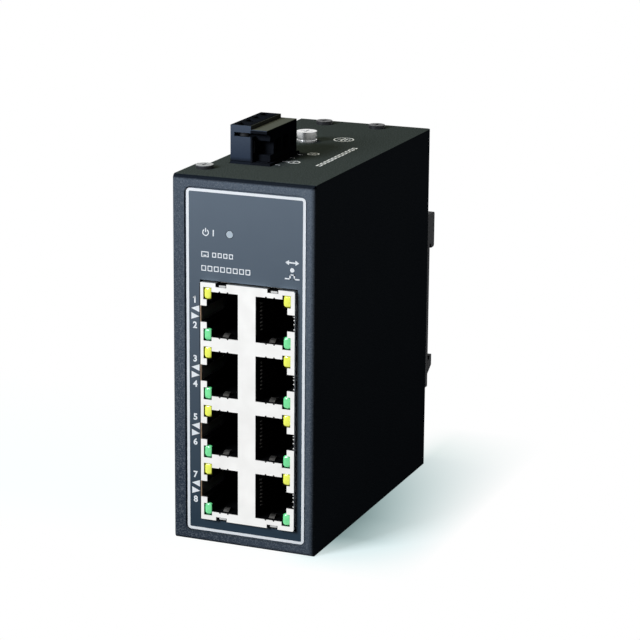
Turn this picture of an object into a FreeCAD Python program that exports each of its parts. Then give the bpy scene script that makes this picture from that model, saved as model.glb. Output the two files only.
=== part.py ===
import FreeCAD, Part
import math
import os
import re

import Sketcher
from FreeCAD import Placement, Rotation, Vector

# An eight-port ethernet switch for a 35 mm rail, in millimetres. The origin is the middle of
# the case's underside: +X runs to the right of the front, +Y to the back and +Z up.

# The folded case
case_width = 40
case_depth = 87.5
case_height = 100
sheet_gauge = 1.0
bend_radius = 1.2
fold_fit = 0.1
notch_depth = 3.1
front_ear = 15.5
rear_ear = 12
front_tab_reach = 9
front_tab_end = 16
rear_tab_reach = 31
rear_tab_depth = 14
flange_reach = 5

# The label and its recess in the front
label_left = 3.6
label_right = 2.6
label_foot = 3.05
label_head = 3.35
label_thickness = 0.2
label_corner = 1.8
recess_depth = 0.4
recess_gap = 0.45

# The stacked socket block
jack_side = 21.4
jack_z = 39.4
jack_width = 27
jack_margin = 8.495
jack_depth = 27
jack_proud = 1.0
jack_gap = 0.35
shield_gauge = 0.3
shield_corner = 0.5
port_pitch = 16.07
port_inner = 2.5
port_side = 10.05
port_half = 6.15
latch_side = 11.45
latch_half = 3.95
slot_half = 2.22
port_depth = 15
spring_notch_near = 5.8
spring_notch_far = 8.9
spring_notch_deep = 1.0
spring_notch_run = 3.0
led_outer_x = 12.4
led_outer_z = 7.25
led_wall = 0.2
led_depth = 3
led_fit = 0.05
led_set_back = 0.4
contact_pitch = 1.02
contact_width = 0.45
contact_gauge = 0.3
contact_start = 3.0
contact_lean = 2.9

# The power indicator
power_side = 16
power_drop = 14.9
power_radius = 0.95
power_hole_gap = 0.15
holder_half = 2.2
holder_start = 1.2
holder_depth = 6
lens_back = 0.25

# The board
board_thickness = 1.6
board_bottom = 4
board_head = 6
board_front = 2
board_rear = 4
board_hole_rear = 9
board_hole_low = 9
board_hole_drop = 12
standoff_radius = 3.0
m_three_radius = 1.45
thread_gap = 0.05
hole_gap = 0.2

# The pluggable terminal on the top
pole_pitch = 5.08
plug_side = 8
plug_width = 10.5
plug_start = 18.8
plug_margin = 2.58
plug_rise = 10.35
plug_seat = 0.75
plug_step = 1.0
plug_step_x = 5.9
plug_cap = 1.9
plug_gap = 1.1
plug_tongue_depth = 9.7
plug_fit = 0.15
end_inset = 2.2
end_block_left = 1.1
end_block_right = 6.3
funnel_side = 3.8
funnel_height = 3.6
well_side = 3.4
clamp_screw_radius = 1.5
clamp_screw_rise = 1.8
well_x = 3.1
clamp_width = 4.2
clamp_height = 4.8
clamp_wall = 0.8
header_depth = 12
header_wall = 1.0
header_floor = 2.0
header_rim = 0.6
header_gap = 0.4
pin_side = 1.0
pin_rise = 6.5
pin_drop = 1.5

# Screws
screw_side = 4.5
screw_y = 10
rear_screw_side = 9.3
rear_screw_y = 5.3
mid_screw_side = 25.4
floor_screw_rear = 10.5
pan_radius = 2.35
pan_height = 1.0
recess_length = 2.6
recess_width = 0.55
recess_sink = 0.7
screw_length = 3.4
ground_side = 14.8
ground_y = 55.6
ground_head = 2.8
ground_head_height = 1.7
ground_washer_gauge = 0.5
lock_washer_gauge = 0.7
lock_washer_radius = 2.5
ground_nut_height = 2.4
ground_nut_radius = 3.0

# The rail clip on the back
rail_z = 47.5
rail_height = 35
rail_gauge = 1.0
rail_gap = 0.3
clip_inset = 1.5
clip_body = 5
clip_bottom = 22
clip_top = 74
hook_gauge = 2.5
hook_lip = 1.4
clip_rounding = 0.8
slide_half = 8
slide_wing = 2.5
slide_floor = 1.6
slide_wing_gauge = 1.5
slide_fit = 0.15
slide_top = 46
latch_reach = 44
latch_tail = 9
latch_tail_half = 5
latch_bar = 4
latch_gauge = 1.9
latch_lip = 1.2
window_half = 2.4
window_low = 31
window_high = 41
post_height = 2.0
spring_radius = 1.15
spring_wire = 0.4
spring_pitch = 1.9
spring_gap = 0.2
clip_screw_x = 14.2
clip_screw_z = 49
clip_screw_head = 2.7
eye_width = 6
eye_height = 2.4

# What the board carries
chip_lead_rise = 0.3
chip_y = 52
chip_z = 44
chip_side = 20
chip_rise = 1.6
chip_lead = 1.2
transformer_y = 34
transformer_low = 15
transformer_deep = 11
transformer_tall = 13
transformer_rise = 5.5
memory_y = 69
memory_z = 44
memory_deep = 4
memory_tall = 5
crystal_y = 52
crystal_z = 27
crystal_deep = 11
crystal_tall = 4.5
crystal_rise = 3.5
crystal_corner = 1.2
capacitor_y = 72
capacitor_low_drop = 40
capacitor_high_drop = 27
capacitor_radius = 4
capacitor_rise = 12
inductor_y = 52
inductor_drop = 29
inductor_side = 12
inductor_rise = 6
inductor_corner = 2
fuse_y = 48
fuse_drop = 20
fuse_deep = 7.5
fuse_tall = 5
fuse_rise = 3
rectifier_y = 60
rectifier_drop = 17
rectifier_deep = 6.5
rectifier_tall = 8
rectifier_rise = 2.5

# Every driving dimension goes into the sheet under its own name. What follows the case or a
# pitch is a formula there.

POLES = 4
ROWS = 4
followers = {
    "label_x": "(label_left - label_right) / 2",
    "label_z": "(case_height + label_foot - label_head) / 2",
    "label_width": "case_width - label_left - label_right",
    "label_height": "case_height - label_foot - label_head",
    "jack_x": "jack_side - case_width / 2",
    "jack_height": "(ROWS - 1) * port_pitch + 2 * jack_margin",
    "power_x": "power_side - case_width / 2",
    "power_z": "case_height - power_drop",
    "board_top": "case_height - board_head",
    "board_hole_high": "case_height - board_hole_drop",
    "plug_left": "plug_side - case_width / 2",
    "plug_length": "(POLES - 1) * pole_pitch + 2 * plug_margin",
    "header_bottom": "case_height - header_depth",
    "screw_x": "screw_side - case_width / 2",
    "rear_screw_x": "rear_screw_side - case_width / 2",
    "mid_screw_x": "mid_screw_side - case_width / 2",
    "ground_x": "ground_side - case_width / 2",
    "clip_width": "case_width - 2 * clip_inset",
    "capacitor_low": "case_height - capacitor_low_drop",
    "capacitor_high": "case_height - capacitor_high_drop",
    "rectifier_z": "case_height - rectifier_drop",
    "fuse_z": "case_height - fuse_drop",
    "inductor_z": "case_height - inductor_drop",
}
drivers = {
    name: value for name, value in globals().items() if isinstance(value, (int, float)) and name[0] != "_"
}
aliases = list(drivers) + list(followers)
doc = FreeCAD.newDocument("rail_switch")
sheet = doc.addObject("Spreadsheet::Sheet", "Size")
for row, alias in enumerate(aliases, 1):
    sheet.set(f"A{row}", alias)
    sheet.setAlias(f"B{row}", alias)
for row, alias in enumerate(aliases, 1):
    sheet.set(f"B{row}", f"={followers[alias]}" if alias in followers else str(drivers[alias]))
nodes = []
doc.recompute()
os.makedirs("parts", exist_ok=True)

FRONT = "(-case_depth / 2)"
BACK = "(case_depth / 2)"
LEFT = "(-case_width / 2)"
RIGHT = "(case_width / 2)"
TOP = "case_height"
JACK_FACE = f"({FRONT} - jack_proud)"
BOARD_FACE = "(jack_x - jack_width / 2)"
BOARD_BACK = f"({BOARD_FACE} - board_thickness)"
PLUG_RIGHT = "(plug_left + plug_width)"
PLUG_FRONT = f"({FRONT} + plug_start)"
PLUG_END = f"({PLUG_FRONT} + plug_length)"
PLUG_SEAT = f"({TOP} + plug_seat)"
PLUG_TOP = f"({TOP} + plug_rise)"
CLIP_FACE = f"({BACK} + clip_body)"
RAIL_TOP = "(rail_z + rail_height / 2)"
RAIL_BOTTOM = "(rail_z - rail_height / 2)"


def tie(expression):
    """An expression for FreeCAD, with each driving dimension taken from the sheet."""
    def sized(word):
        return f"Size.{word.group()}" if word.group() in aliases else word.group()

    return re.sub(r"[A-Za-z_]+", sized, expression)


def about(centre, width):
    """The two ends of a width laid evenly about a place."""
    return f"{centre} - {width} / 2", f"{centre} + {width} / 2"


def node(thing, label):
    """Name a finished sub-part."""
    thing.Label = label
    nodes.append(thing)
    return thing


# Solids from primitives

TURNS = {
    "x": Rotation(Vector(0, 1, 0), 90),
    "y": Rotation(Vector(1, 0, 0), -90),
    "z": Rotation(),
}


def block(name, x, y, z):
    """A box from one place to another along each axis."""
    solid = doc.addObject("Part::Box", name)
    for side, axis, (low, high) in zip(("Length", "Width", "Height"), "xyz", (x, y, z)):
        solid.setExpression(side, tie(f"({high}) - ({low})"))
        solid.setExpression(f"Placement.Base.{axis}", tie(low))
    return solid


def rod(name, axis, centre, radius, low, high):
    """A round bar along one axis; the centre gives the other two places, in x, y, z order."""
    return placed(doc.addObject("Part::Cylinder", name), "Radius", axis, centre, radius, low, high)


def placed(solid, width, axis, centre, radius, low, high):
    """Size an upright primitive, turn it to its axis and put it in its place."""
    solid.Placement = Placement(Vector(), TURNS[axis])
    solid.setExpression(width, tie(radius))
    solid.setExpression("Height", tie(f"({high}) - ({low})"))
    base = list(centre)
    base.insert("xyz".index(axis), low)
    for direction, place in zip("xyz", base):
        solid.setExpression(f"Placement.Base.{direction}", tie(place))
    return solid


def hexagon(name, axis, centre, radius, low, high):
    """A six-sided bar along one axis, with the radius to its corners."""
    solid = doc.addObject("Part::Prism", name)
    solid.Polygon = 6
    return placed(solid, "Circumradius", axis, centre, radius, low, high)


def fuse(name, *shapes):
    joined = doc.addObject("Part::MultiFuse", name)
    joined.Shapes = list(shapes)
    return joined


def cut(name, base, *tools):
    result = doc.addObject("Part::Cut", name)
    result.Base = base
    result.Tool = tools[0] if len(tools) == 1 else fuse(f"{name}_tools", *tools)
    return result


def group(name, shapes):
    together = doc.addObject("Part::Compound", name)
    together.Links = list(shapes)
    return together


def bevelled(name, base, width, chosen):
    """Bevel the chosen edges of a primitive or a boolean."""
    doc.recompute()
    result = doc.addObject("Part::Chamfer", name)
    result.Base = base
    result.Edges = [(i, width, width) for i, edge in enumerate(base.Shape.Edges, 1) if chosen(edge)]
    return result


# Bodies from sketches

def draw(body, name, role, offset, outlines=(), circles=()):
    """A sketch on an origin plane of the body, with every corner tied to the sheet."""
    drawing = body.newObject("Sketcher::SketchObject", name)
    plane = next(item for item in body.Origin.OriginFeatures if item.Role == role)
    drawing.AttachmentSupport = [(plane, "")]
    drawing.MapMode = "FlatFace"
    drawing.setExpression("AttachmentOffset.Base.z", tie(offset))
    for outline in outlines:
        count = len(outline)
        starts = [Rotation(Vector(0, 0, 1), 360 * i / count).multVec(Vector(10, 0, 0)) for i in range(count)]
        first = drawing.GeometryCount
        for i in range(count):
            drawing.addGeometry(Part.LineSegment(starts[i], starts[(i + 1) % count]), False)
        for i in range(count):
            line = first + i
            drawing.addConstraint(Sketcher.Constraint("Coincident", line, 2, first + (i + 1) % count, 1))
        for i, corner in enumerate(outline):
            for kind, place in zip(("DistanceX", "DistanceY"), corner):
                index = drawing.addConstraint(Sketcher.Constraint(kind, -1, 1, first + i, 1, 1.0))
                drawing.setExpression(f"Constraints[{index}]", tie(place))
    for centre, radius in circles:
        ring = drawing.addGeometry(Part.Circle(Vector(1, 1, 0), Vector(0, 0, 1), 1), False)
        for kind, place in zip(("DistanceX", "DistanceY"), centre):
            index = drawing.addConstraint(Sketcher.Constraint(kind, -1, 1, ring, 3, 1.0))
            drawing.setExpression(f"Constraints[{index}]", tie(place))
        index = drawing.addConstraint(Sketcher.Constraint("Radius", ring, 1.0))
        drawing.setExpression(f"Constraints[{index}]", tie(radius))
    return drawing


def rectangle(low_u, high_u, low_v, high_v):
    return [(low_u, low_v), (high_u, low_v), (high_u, high_v), (low_u, high_v)]


def pad(body, drawing, length, reverse=False):
    feature = body.newObject("PartDesign::Pad", f"{drawing.Name}_pad")
    feature.Profile = drawing
    feature.Reversed = reverse
    feature.setExpression("Length", tie(length))
    doc.recompute()
    return feature


def pocket(body, drawing, length, reverse=False):
    """Cut a sketch into the body, and make sure that it took something away."""
    before = body.Shape.Volume
    feature = body.newObject("PartDesign::Pocket", f"{drawing.Name}_pocket")
    feature.Profile = drawing
    feature.Reversed = reverse
    feature.setExpression("Length", tie(length))
    doc.recompute()
    assert body.Shape.Volume < before - 1e-6, f"{feature.Name} cut nothing"
    return feature


def soften(body, name, radius, chosen):
    """Round the chosen edges of a body."""
    base = body.Tip
    names = [f"Edge{i}" for i, edge in enumerate(base.Shape.Edges, 1) if chosen(edge)]
    feature = body.newObject("PartDesign::Fillet", name)
    feature.Base = (base, names)
    feature.setExpression("Radius", tie(radius))
    doc.recompute()
    return feature


def repeat(body, feature, count, spacing):
    """Repeat a feature upward."""
    pattern = body.newObject("PartDesign::LinearPattern", f"{feature.Name}_rows")
    pattern.Originals = [feature]
    upward = next(item for item in body.Origin.OriginFeatures if item.Role == "Z_Axis")
    pattern.Direction = (upward, [""])
    pattern.Occurrences = count
    pattern.setExpression("Length", tie(f"{spacing} * {count - 1}"))
    body.Tip = pattern
    doc.recompute()
    return pattern


def close(a, b):
    return abs(a - b) < 1e-4


def runs_along(edge, axis):
    """Whether an edge is straight and parallel to an axis."""
    if edge.Curve.TypeId != "Part::GeomLine":
        return False
    return abs(getattr(edge.Curve.Direction, axis)) > 0.999


def new_body(name):
    return doc.addObject("PartDesign::Body", name)


# The chassis: front, top, bottom, right side and back folded from one sheet, open on the left

front = -case_depth / 2
back = case_depth / 2
right = case_width / 2
left = -case_width / 2
top = case_height

chassis = new_body("Chassis")
pad(chassis, draw(chassis, "blank", "XY_Plane", "0", [rectangle(LEFT, RIGHT, FRONT, BACK)]), TOP)


def is_bend(edge):
    middle = edge.CenterOfMass
    if runs_along(edge, "x"):
        return close(middle.y, front)
    return runs_along(edge, "z") and close(middle.x, right)


soften(chassis, "outer_bends", "bend_radius", is_bend)
hollow = draw(
    chassis, "hollow", "YZ_Plane", LEFT,
    [rectangle(f"{FRONT} + sheet_gauge", f"{BACK} - sheet_gauge", "sheet_gauge", f"{TOP} - sheet_gauge")],
)
pocket(chassis, hollow, "case_width - sheet_gauge", reverse=True)
notch = draw(
    chassis, "notch", "XY_Plane", "0",
    [
        rectangle(
            f"{LEFT} - sheet_gauge", f"{LEFT} + notch_depth", f"{FRONT} + front_ear", f"{BACK} - rear_ear",
        ),
    ],
)
pocket(chassis, notch, TOP, reverse=True)

RECESS = (
    "label_x - label_width / 2 - recess_gap", "label_x + label_width / 2 + recess_gap / 2",
    "label_z - label_height / 2 - recess_gap", "label_z + label_height / 2 + recess_gap",
)
pocket(chassis, draw(chassis, "label_recess", "XZ_Plane", f"-{FRONT}", [rectangle(*RECESS)]), "recess_depth")
recess_floor = front + recess_depth
soften(
    chassis, "recess_corners", "label_corner + recess_gap / 2",
    lambda edge: runs_along(edge, "y") and close(edge.CenterOfMass.y, (front + recess_floor) / 2),
)
JACK_WINDOW = rectangle(
    "jack_x - jack_width / 2 - jack_gap", "jack_x + jack_width / 2 + jack_gap",
    "jack_z - jack_height / 2 - jack_gap", "jack_z + jack_height / 2 + jack_gap",
)
POWER_HOLE = (("power_x", "power_z"), "power_radius + power_hole_gap")
pocket(
    chassis, draw(chassis, "front_windows", "XZ_Plane", f"-{FRONT}", [JACK_WINDOW], [POWER_HOLE]),
    "sheet_gauge",
)

SCREW_PLACES = (
    ("screw_x", f"{FRONT} + screw_y"),
    ("rear_screw_x", f"{BACK} - rear_screw_y"),
    ("mid_screw_x", f"{BACK} - rear_screw_y"),
)
GROUND_PLACE = ("ground_x", f"{FRONT} + ground_y")
terminal_window = rectangle(
    f"{BOARD_FACE} - header_gap", f"{PLUG_RIGHT} + header_wall - plug_fit + header_gap",
    f"{PLUG_FRONT} - header_gap", f"{PLUG_END} + header_gap",
)
top_holes = [(place, "m_three_radius + hole_gap") for place in SCREW_PLACES + (GROUND_PLACE,)]
pocket(chassis, draw(chassis, "top_windows", "XY_Plane", TOP, [terminal_window], top_holes), "sheet_gauge")

FLOOR_PLACES = (("screw_x", f"{FRONT} + screw_y"), ("screw_x", f"{BACK} - floor_screw_rear"))
floor_holes = [(place, "m_three_radius + hole_gap") for place in FLOOR_PLACES]
pocket(chassis, draw(chassis, "floor_holes", "XY_Plane", "sheet_gauge", (), floor_holes), "sheet_gauge")

CLIP_SCREWS = [("-clip_screw_x", "clip_screw_z"), ("clip_screw_x", "clip_screw_z")]
clip_holes = [(place, "m_three_radius + thread_gap") for place in CLIP_SCREWS]
back_holes = draw(chassis, "clip_holes", "XZ_Plane", f"-{BACK}", (), clip_holes)
pocket(chassis, back_holes, "sheet_gauge", reverse=True)
node(chassis, "chassis")


# The left side plate, whose flanges tuck under the top and over the bottom of the chassis

side_plate = new_body("SidePlate")
PLATE_LOW = "(sheet_gauge)"
PLATE_HIGH = f"({TOP} - sheet_gauge)"
REACH = f"({LEFT} + rear_tab_reach)"
channel = [
    (LEFT, PLATE_LOW), (REACH, PLATE_LOW), (REACH, f"{PLATE_LOW} + sheet_gauge"),
    (f"{LEFT} + sheet_gauge", f"{PLATE_LOW} + sheet_gauge"),
    (f"{LEFT} + sheet_gauge", f"{PLATE_HIGH} - sheet_gauge"),
    (REACH, f"{PLATE_HIGH} - sheet_gauge"), (REACH, PLATE_HIGH), (LEFT, PLATE_HIGH),
]
pad(
    side_plate, draw(side_plate, "channel", "XZ_Plane", f"-({FRONT} + sheet_gauge + fold_fit)", [channel]),
    "case_depth - 2 * sheet_gauge - 2 * fold_fit", reverse=True,
)
soften(
    side_plate, "plate_bends", "bend_radius",
    lambda edge: runs_along(edge, "y") and close(edge.CenterOfMass.x, left),
)
TAB_END = f"({FRONT} + front_tab_end)"
TAB_START = f"({BACK} - rear_tab_depth)"
trimmed = [
    (f"{LEFT} + front_tab_reach", FRONT), (f"{REACH} + sheet_gauge", FRONT),
    (f"{REACH} + sheet_gauge", TAB_START), (f"{LEFT} + flange_reach", TAB_START),
    (f"{LEFT} + flange_reach", TAB_END), (f"{LEFT} + front_tab_reach", TAB_END),
]
pocket(side_plate, draw(side_plate, "flange_trim", "XY_Plane", "0", [trimmed]), TOP, reverse=True)
tab_holes = [(place, "m_three_radius + thread_gap") for place in SCREW_PLACES]
upper = draw(side_plate, "tab_holes", "XY_Plane", PLATE_HIGH, (), tab_holes)
pocket(side_plate, upper, "sheet_gauge")
lower_holes = [(place, "m_three_radius + thread_gap") for place in FLOOR_PLACES]
lower = draw(side_plate, "lower_holes", "XY_Plane", f"{PLATE_LOW} + sheet_gauge", (), lower_holes)
pocket(side_plate, lower, "sheet_gauge")
node(side_plate, "side_plate")


# The printed film in the recess of the front

label = new_body("Label")
FILM = (
    "label_x - label_width / 2", "label_x + label_width / 2",
    "label_z - label_height / 2", "label_z + label_height / 2",
)
film = draw(label, "film", "XZ_Plane", f"-({FRONT} + recess_depth)", [rectangle(*FILM)])
pad(label, film, "label_thickness")
soften(label, "film_corners", "label_corner", lambda edge: runs_along(edge, "y"))
film_windows = draw(label, "film_windows", "XZ_Plane", f"-({FRONT})", [JACK_WINDOW], [POWER_HOLE])
pocket(label, film_windows, "sheet_gauge")
node(label, "front_label")


# The socket block: a shield, a moulding with eight cavities, wires and indicators

LOWEST_PORT = f"(jack_z - {(ROWS - 1) / 2} * port_pitch)"


def both_columns(outline):
    """An outline of the right column, given from the block's middle, and its mirror."""
    right_side = [(f"jack_x + {u}", f"{LOWEST_PORT} + {v}") for u, v in outline]
    left_side = [(f"jack_x - {u}", f"{LOWEST_PORT} + {v}") for u, v in outline]
    return [right_side, left_side]


def mirrored_upward(half):
    """An outline's upper half, followed back along its lower half."""
    return half + [(u, f"-{v}") for u, v in reversed(half)]


INSIDE = "(jack_width / 2 - shield_gauge)"
port_window = mirrored_upward([
    ("port_inner", "port_half"), ("port_side", "port_half"), ("port_side", "led_outer_z"),
    ("led_outer_x", "led_outer_z"), ("led_outer_x", "latch_half"), ("latch_side", "latch_half"),
    ("latch_side", "slot_half"), (INSIDE, "slot_half"),
])
port_cavity = mirrored_upward([
    ("port_inner", "port_half"), ("port_side", "port_half"), ("port_side", "latch_half - led_wall"),
    ("latch_side", "latch_half - led_wall"), ("latch_side", "slot_half"), (INSIDE, "slot_half"),
])

shield = new_body("Shield")
skin = rectangle(
    "jack_x - jack_width / 2", "jack_x + jack_width / 2",
    "jack_z - jack_height / 2", "jack_z + jack_height / 2",
)
pad(shield, draw(shield, "skin", "XZ_Plane", f"-{JACK_FACE}", [skin]), "jack_depth", reverse=True)
soften(shield, "shield_corners", "shield_corner", lambda edge: runs_along(edge, "y"))
core = rectangle(
    "jack_x - jack_width / 2 + shield_gauge", "jack_x + jack_width / 2 - shield_gauge",
    "jack_z - jack_height / 2 + shield_gauge", "jack_z + jack_height / 2 - shield_gauge",
)
room = draw(shield, "room", "XZ_Plane", f"-({JACK_FACE} + jack_depth)", [core])
pocket(shield, room, "jack_depth - shield_gauge", reverse=True)
windows = draw(shield, "port_windows", "XZ_Plane", f"-{JACK_FACE}", both_columns(port_window))
repeat(shield, pocket(shield, windows, "shield_gauge"), ROWS, "port_pitch")
notches = [
    rectangle(f"jack_x {side} spring_notch_near", f"jack_x {side} spring_notch_far", low, high)
    for side in "+-"
    for low, high in (
        ("jack_z + jack_height / 2 - spring_notch_deep", "jack_z + jack_height / 2 + shield_gauge"),
        ("jack_z - jack_height / 2 - shield_gauge", "jack_z - jack_height / 2 + spring_notch_deep"),
    )
]
pocket(shield, draw(shield, "spring_notches", "XZ_Plane", f"-{JACK_FACE}", notches), "spring_notch_run")
node(shield, "jack_shield")

housing = new_body("Housing")
HOUSING_FACE = f"({JACK_FACE} + shield_gauge)"
pad(housing, draw(housing, "moulding", "XZ_Plane", f"-{HOUSING_FACE}", [core]), "port_depth", reverse=True)
cavities = draw(housing, "cavities", "XZ_Plane", f"-{HOUSING_FACE}", both_columns(port_cavity))
repeat(housing, pocket(housing, cavities, "port_depth"), ROWS, "port_pitch")
WELL_SIDE = "(port_side + led_wall)"
well_outlines = both_columns(rectangle(WELL_SIDE, "led_outer_x", "latch_half", "led_outer_z"))
well_outlines += both_columns(rectangle(WELL_SIDE, "led_outer_x", "-led_outer_z", "-latch_half"))
wells = draw(housing, "led_wells", "XZ_Plane", f"-{HOUSING_FACE}", well_outlines)
repeat(housing, pocket(housing, wells, "led_depth"), ROWS, "port_pitch")
node(housing, "jack_housing")
insert_block = block(
    "insert_block", (core[0][0], core[1][0]), (f"{HOUSING_FACE} + port_depth", f"{JACK_FACE} + jack_depth"),
    (core[0][1], core[2][1]),
)
node(insert_block, "jack_insert")


def link_led(name, side, row, end):
    """One indicator in its well; end is + for the upper corner of a socket and - for the lower."""
    middle = f"({LOWEST_PORT} + {row} * port_pitch)"
    x = [f"jack_x {side} (led_outer_x - led_fit)", f"jack_x {side} ({WELL_SIDE} + led_fit)"]
    z = [f"{middle} {end} (led_outer_z - led_fit)", f"{middle} {end} (latch_half + led_fit)"]
    y = (f"{JACK_FACE} + led_set_back", f"{HOUSING_FACE} + led_depth")
    return block(name, x if side == "-" else x[::-1], y, z if end == "-" else z[::-1])


for colour, end in (("yellow", "+"), ("green", "-")):
    lenses = [
        link_led(f"{colour}_led_{'left' if side == '-' else 'right'}_{row}", side, row, end)
        for side in "-+"
        for row in range(ROWS)
    ]
    node(group(f"{colour}_leds", lenses), f"link_leds_{colour}")


def contact_wires():
    """Eight spring wires to a socket, leaning from the middle wall to the cavity's end."""
    face = front - jack_proud + shield_gauge
    end = face + port_depth
    start = front - jack_proud + contact_start
    wires = []
    for side in (-1, 1):
        near = sheet.get("jack_x") + side * port_inner
        far = near + side * contact_lean
        path = [Vector(near, start, 0), Vector(far + side * contact_gauge, end, 0), Vector(far, end, 0)]
        blade = Part.Face(Part.makePolygon(path + path[:1])).extrude(Vector(0, 0, contact_width))
        for row in range(ROWS):
            middle = jack_z + (row - 1.5) * port_pitch
            for wire in range(8):
                height = middle + (wire - 3.5) * contact_pitch - contact_width / 2
                wires.append(blade.translated(Vector(0, 0, height)))
    return Part.makeCompound(wires)


contacts = doc.addObject("Part::Feature", "Contacts")
contacts.Shape = contact_wires()
node(contacts, "jack_contacts")


# The power indicator, held off the board behind its hole in the front

HOLDER_FRONT = f"({FRONT} + sheet_gauge + holder_start)"
HOLDER_BACK = f"({HOLDER_FRONT} + holder_depth)"
holder_block = block(
    "holder_block", (BOARD_FACE, "power_x + holder_half"), (HOLDER_FRONT, HOLDER_BACK),
    ("power_z - holder_half", "power_z + holder_half"),
)
holder_bore = rod(
    "holder_bore", "y", ("power_x", "power_z"), "power_radius + led_fit", HOLDER_FRONT,
    f"{HOLDER_BACK} - sheet_gauge",
)
node(cut("holder", holder_block, holder_bore), "led_holder")
lens_rod = rod(
    "lens_rod", "y", ("power_x", "power_z"), "power_radius", f"{FRONT} + lens_back",
    f"{HOLDER_BACK} - sheet_gauge",
)
node(lens_rod, "power_led")


# The board, upright on the left, and how it is carried

board_plate = block(
    "board_plate", (BOARD_BACK, BOARD_FACE), (f"{FRONT} + board_front", f"{BACK} - board_rear"),
    ("board_bottom", "board_top"),
)
BOARD_HOLES = [(f"({BACK} - board_hole_rear)", height) for height in ("board_hole_low", "board_hole_high")]
board_holes = [
    rod(f"board_hole_{i}", "x", place, "m_three_radius + hole_gap", BOARD_BACK, BOARD_FACE)
    for i, place in enumerate(BOARD_HOLES)
]
node(cut("board", board_plate, *board_holes), "main_board")

standoffs = []
for i, place in enumerate(BOARD_HOLES):
    span = (f"{LEFT} + sheet_gauge", BOARD_BACK)
    post = hexagon(f"standoff_post_{i}", "x", place, "standoff_radius", *span)
    bore = rod(f"standoff_bore_{i}", "x", place, "m_three_radius + thread_gap", *span)
    standoffs.append(cut(f"standoff_{i}", post, bore))
node(group("standoffs", standoffs), "board_standoffs")


def screw(name, axis, centre, face, head_radius, head_height, length):
    """A round-headed screw standing out of a face along an axis."""
    head = rod(f"{name}_head", axis, centre, head_radius, face, f"{face} + {head_height}")
    shank = rod(f"{name}_shank", axis, centre, "m_three_radius", f"{face} - {length}", face)
    return fuse(name, head, shank)


def crossed(name, whole, axis, centre, outer, reach="recess_length"):
    """Sink a cross recess into the head of a screw."""
    bars = []
    for across in range(2):
        spans = [about(place, "recess_width") for place in centre]
        spans[across] = about(centre[across], reach)
        spans.insert("xyz".index(axis), (f"{outer} - recess_sink", outer))
        bars.append(block(f"{name}_bar_{across}", *spans))
    return cut(name, whole, *bars)


board_screws = [
    screw(
        f"board_screw_{i}", "x", place, BOARD_FACE, "pan_radius", "pan_height", "screw_length + sheet_gauge",
    )
    for i, place in enumerate(BOARD_HOLES)
]
node(group("board_screw_set", board_screws), "board_screws")


# What is soldered to the board, each piece flat on its face

def on_board(name, y, z, deep, tall, rise):
    """A component on the board, from its centre behind the front and its height."""
    return block(name, (BOARD_FACE, f"{BOARD_FACE} + {rise}"), about(f"{FRONT} + {y}", deep), about(z, tall))


def leaded(name, y, z, deep, tall, rise, lead):
    """A chip: its moulding over a thin skirt of leads."""
    moulding = on_board(f"{name}_moulding", y, z, deep, tall, rise)
    spread = (f"({deep} + 2 * {lead})", f"({tall} - 2 * {lead})")
    skirt = on_board(f"{name}_leads", y, z, *spread, "chip_lead_rise")
    return fuse(name, moulding, skirt)


node(leaded("chip", "chip_y", "chip_z", "chip_side", "chip_side", "chip_rise", "chip_lead"), "switch_chip")
transformers = [
    leaded(
        f"transformer_{i}", "transformer_y", f"(transformer_low + {i} * port_pitch)", "transformer_deep",
        "transformer_tall", "transformer_rise", "chip_lead",
    )
    for i in range(ROWS)
]
node(group("transformer_set", transformers), "port_transformers")
memory = leaded("memory", "memory_y", "memory_z", "memory_deep", "memory_tall", "chip_rise", "chip_lead")
node(memory, "config_memory")
can = on_board("crystal_can", "crystal_y", "crystal_z", "crystal_deep", "crystal_tall", "crystal_rise")
node(bevelled("crystal_drawn", can, crystal_corner, lambda edge: runs_along(edge, "x")), "crystal")
cans = [
    rod(
        f"capacitor_{i}", "x", (f"{FRONT} + capacitor_y", height), "capacitor_radius", BOARD_FACE,
        f"{BOARD_FACE} + capacitor_rise",
    )
    for i, height in enumerate(("capacitor_low", "capacitor_high"))
]
node(group("capacitor_set", cans), "smoothing_capacitors")
choke = on_board("choke", "inductor_y", "inductor_z", "inductor_side", "inductor_side", "inductor_rise")
node(bevelled("choke_moulded", choke, inductor_corner, lambda edge: runs_along(edge, "x")), "power_inductor")
node(on_board("fuse_link", "fuse_y", "fuse_z", "fuse_deep", "fuse_tall", "fuse_rise"), "input_fuse")
node(
    leaded(
        "bridge", "rectifier_y", "rectifier_z", "rectifier_deep", "rectifier_tall", "rectifier_rise",
        "chip_lead",
    ),
    "rectifier",
)


# The header on the board's upper edge, open upward through the top of the case

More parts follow.
